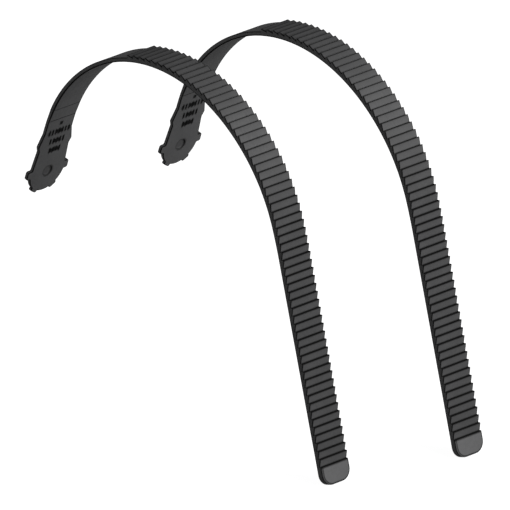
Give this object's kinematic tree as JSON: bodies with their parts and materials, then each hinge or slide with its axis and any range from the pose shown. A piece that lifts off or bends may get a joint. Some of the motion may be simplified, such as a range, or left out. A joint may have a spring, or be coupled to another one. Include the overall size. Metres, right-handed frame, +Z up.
{
  "type": "ratchet ladder strap pair",
  "caption": "Pair of flexible moulded ratchet straps, each with a lugged bayonet head, a smooth band, a saw-toothed ladder across its width and a rounded tongue.",
  "frame": {"origin": "centre of the round recess in the left strap's head, on the head's inner face", "axes": "+X across the straps, from the left one to the right one; +Y from the tongues towards the heads; +Z up"},
  "size_m": [0.1237, 0.2843, 0.2382],
  "materials": {
    "strap": "matte moulded elastomer, very finely textured"
  },
  "bodies": {
    "left_head": {"left_head": "strap"},
    "left_band_1": {"left_band_1": "strap"},
    "left_band_2": {"left_band_2": "strap"},
    "left_ladder_1": {"left_ladder_1": "strap"},
    "left_ladder_2": {"left_ladder_2": "strap"},
    "left_ladder_3": {"left_ladder_3": "strap"},
    "left_ladder_4": {"left_ladder_4": "strap"},
    "left_ladder_5": {"left_ladder_5": "strap"},
    "left_ladder_6": {"left_ladder_6": "strap"},
    "left_ladder_7": {"left_ladder_7": "strap"},
    "left_tongue": {"left_tongue": "strap"},
    "right_head": {"right_head": "strap"},
    "right_band_1": {"right_band_1": "strap"},
    "right_band_2": {"right_band_2": "strap"},
    "right_ladder_1": {"right_ladder_1": "strap"},
    "right_ladder_2": {"right_ladder_2": "strap"},
    "right_ladder_3": {"right_ladder_3": "strap"},
    "right_ladder_4": {"right_ladder_4": "strap"},
    "right_ladder_5": {"right_ladder_5": "strap"},
    "right_ladder_6": {"right_ladder_6": "strap"},
    "right_ladder_7": {"right_ladder_7": "strap"},
    "right_tongue": {"right_tongue": "strap"}
  },
  "joints": [
    {"name": "pair_spacing", "type": "slide", "parent": "left_head", "child": "right_head", "axis": [1, 0, 0], "range_m": [-0.045, 0.1]},
    {"name": "left_flex_1", "type": "hinge", "parent": "left_head", "child": "left_band_1", "pos_m": [0, -0.01682, 0.04913], "axis": [1, 0, 0], "range_deg": [-20, 15], "stiffness_Nm_per_rad": 0.4, "springref_deg": -8.53},
    {"name": "left_flex_2", "type": "hinge", "parent": "left_band_1", "child": "left_band_2", "pos_m": [0, -0.04385, 0.08064], "axis": [1, 0, 0], "range_deg": [-20, 15], "stiffness_Nm_per_rad": 0.4, "springref_deg": -7.07},
    {"name": "left_flex_3", "type": "hinge", "parent": "left_band_2", "child": "left_ladder_1", "pos_m": [0, -0.08159, 0.09797], "axis": [1, 0, 0], "range_deg": [-20, 15], "stiffness_Nm_per_rad": 0.4, "springref_deg": -5.21},
    {"name": "left_flex_4", "type": "hinge", "parent": "left_ladder_1", "child": "left_ladder_2", "pos_m": [0, -0.12133, 0.09864], "axis": [1, 0, 0], "range_deg": [-20, 15], "stiffness_Nm_per_rad": 0.4, "springref_deg": -3.44},
    {"name": "left_flex_5", "type": "hinge", "parent": "left_ladder_2", "child": "left_ladder_3", "pos_m": [0, -0.15845, 0.08438], "axis": [1, 0, 0], "range_deg": [-20, 15], "stiffness_Nm_per_rad": 0.4, "springref_deg": -2.01},
    {"name": "left_flex_6", "type": "hinge", "parent": "left_ladder_3", "child": "left_ladder_4", "pos_m": [0, -0.18815, 0.05789], "axis": [1, 0, 0], "range_deg": [-20, 15], "stiffness_Nm_per_rad": 0.4, "springref_deg": -1.03},
    {"name": "left_flex_7", "type": "hinge", "parent": "left_ladder_4", "child": "left_ladder_5", "pos_m": [0, -0.20699, 0.02284], "axis": [1, 0, 0], "range_deg": [-20, 15], "stiffness_Nm_per_rad": 0.4, "springref_deg": -0.52},
    {"name": "left_flex_8", "type": "hinge", "parent": "left_ladder_5", "child": "left_ladder_6", "pos_m": [0, -0.21762, -0.01572], "axis": [1, 0, 0], "range_deg": [-20, 15], "stiffness_Nm_per_rad": 0.4, "springref_deg": -0.29},
    {"name": "left_flex_9", "type": "hinge", "parent": "left_ladder_6", "child": "left_ladder_7", "pos_m": [0, -0.22764, -0.05444], "axis": [1, 0, 0], "range_deg": [-20, 15], "stiffness_Nm_per_rad": 0.4, "springref_deg": -0.14},
    {"name": "left_flex_10", "type": "hinge", "parent": "left_ladder_7", "child": "left_tongue", "pos_m": [0, -0.23765, -0.09317], "axis": [1, 0, 0], "range_deg": [-20, 15], "stiffness_Nm_per_rad": 0.4, "springref_deg": -0.04},
    {"name": "right_flex_1", "type": "hinge", "parent": "right_head", "child": "right_band_1", "pos_m": [0.0889, -0.04302, 0.04913], "axis": [1, 0, 0], "range_deg": [-20, 15], "stiffness_Nm_per_rad": 0.4, "springref_deg": -8.53},
    {"name": "right_flex_2", "type": "hinge", "parent": "right_band_1", "child": "right_band_2", "pos_m": [0.0889, -0.07005, 0.08064], "axis": [1, 0, 0], "range_deg": [-20, 15], "stiffness_Nm_per_rad": 0.4, "springref_deg": -7.07},
    {"name": "right_flex_3", "type": "hinge", "parent": "right_band_2", "child": "right_ladder_1", "pos_m": [0.0889, -0.10779, 0.09797], "axis": [1, 0, 0], "range_deg": [-20, 15], "stiffness_Nm_per_rad": 0.4, "springref_deg": -5.21},
    {"name": "right_flex_4", "type": "hinge", "parent": "right_ladder_1", "child": "right_ladder_2", "pos_m": [0.0889, -0.14753, 0.09864], "axis": [1, 0, 0], "range_deg": [-20, 15], "stiffness_Nm_per_rad": 0.4, "springref_deg": -3.44},
    {"name": "right_flex_5", "type": "hinge", "parent": "right_ladder_2", "child": "right_ladder_3", "pos_m": [0.0889, -0.18465, 0.08438], "axis": [1, 0, 0], "range_deg": [-20, 15], "stiffness_Nm_per_rad": 0.4, "springref_deg": -2.01},
    {"name": "right_flex_6", "type": "hinge", "parent": "right_ladder_3", "child": "right_ladder_4", "pos_m": [0.0889, -0.21435, 0.05789], "axis": [1, 0, 0], "range_deg": [-20, 15], "stiffness_Nm_per_rad": 0.4, "springref_deg": -1.03},
    {"name": "right_flex_7", "type": "hinge", "parent": "right_ladder_4", "child": "right_ladder_5", "pos_m": [0.0889, -0.23319, 0.02284], "axis": [1, 0, 0], "range_deg": [-20, 15], "stiffness_Nm_per_rad": 0.4, "springref_deg": -0.52},
    {"name": "right_flex_8", "type": "hinge", "parent": "right_ladder_5", "child": "right_ladder_6", "pos_m": [0.0889, -0.24382, -0.01572], "axis": [1, 0, 0], "range_deg": [-20, 15], "stiffness_Nm_per_rad": 0.4, "springref_deg": -0.29},
    {"name": "right_flex_9", "type": "hinge", "parent": "right_ladder_6", "child": "right_ladder_7", "pos_m": [0.0889, -0.25384, -0.05444], "axis": [1, 0, 0], "range_deg": [-20, 15], "stiffness_Nm_per_rad": 0.4, "springref_deg": -0.14},
    {"name": "right_flex_10", "type": "hinge", "parent": "right_ladder_7", "child": "right_tongue", "pos_m": [0.0889, -0.26385, -0.09317], "axis": [1, 0, 0], "range_deg": [-20, 15], "stiffness_Nm_per_rad": 0.4, "springref_deg": -0.04}
  ]
}
